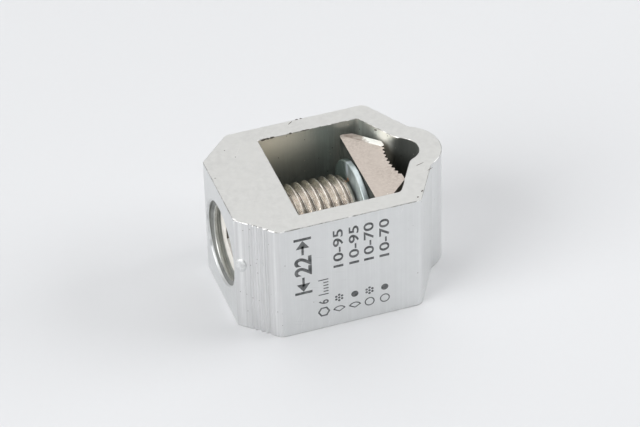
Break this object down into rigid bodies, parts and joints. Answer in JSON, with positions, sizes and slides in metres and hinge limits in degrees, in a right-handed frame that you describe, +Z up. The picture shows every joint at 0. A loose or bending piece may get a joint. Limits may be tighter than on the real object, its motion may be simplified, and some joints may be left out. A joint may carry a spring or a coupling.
{
  "type": "cable clamp",
  "caption": "Compact V-shaped cable clamp: a hexagon socket screw pushes a toothed pressure jaw along a window to hold a conductor in a rounded seat.",
  "frame": {"origin": "middle of the footprint, on the bottom sawn face of the body", "axes": "+X along the screw from the threaded face to the nose, +Y across, +Z up along the conductor"},
  "size_m": [0.0376, 0.0272, 0.0215],
  "materials": {
    "body_aluminium": "extruded sides with fine die lines, matt sawn ends with small burrs",
    "screw_plating": "rolled thread under a thin warm silver plating",
    "washer_zinc": "bright zinc plating with a small rust spot",
    "jaw_plating": "smooth sawn bar under a thin warm silver plating"
  },
  "bodies": {
    "body": {"clamp_body": "body_aluminium"},
    "jaw_set": {"pressure_jaw": "jaw_plating", "thrust_washer": "washer_zinc"},
    "screw": {"clamp_screw": "screw_plating"}
  },
  "joints": [
    {"name": "jaw_travel", "type": "slide", "parent": "body", "child": "jaw_set", "axis": [1, 0, 0], "range_m": [-0.012, 0]},
    {"name": "screw_spin", "type": "hinge", "parent": "jaw_set", "child": "screw", "pos_m": [0, 0, 0.01075], "axis": [1, 0, 0], "range_deg": [-2880.1, 0]}
  ],
  "couplings": [
    {"joint": "screw_spin", "follows": "jaw_travel", "rad_per_m": 4188.8}
  ]
}
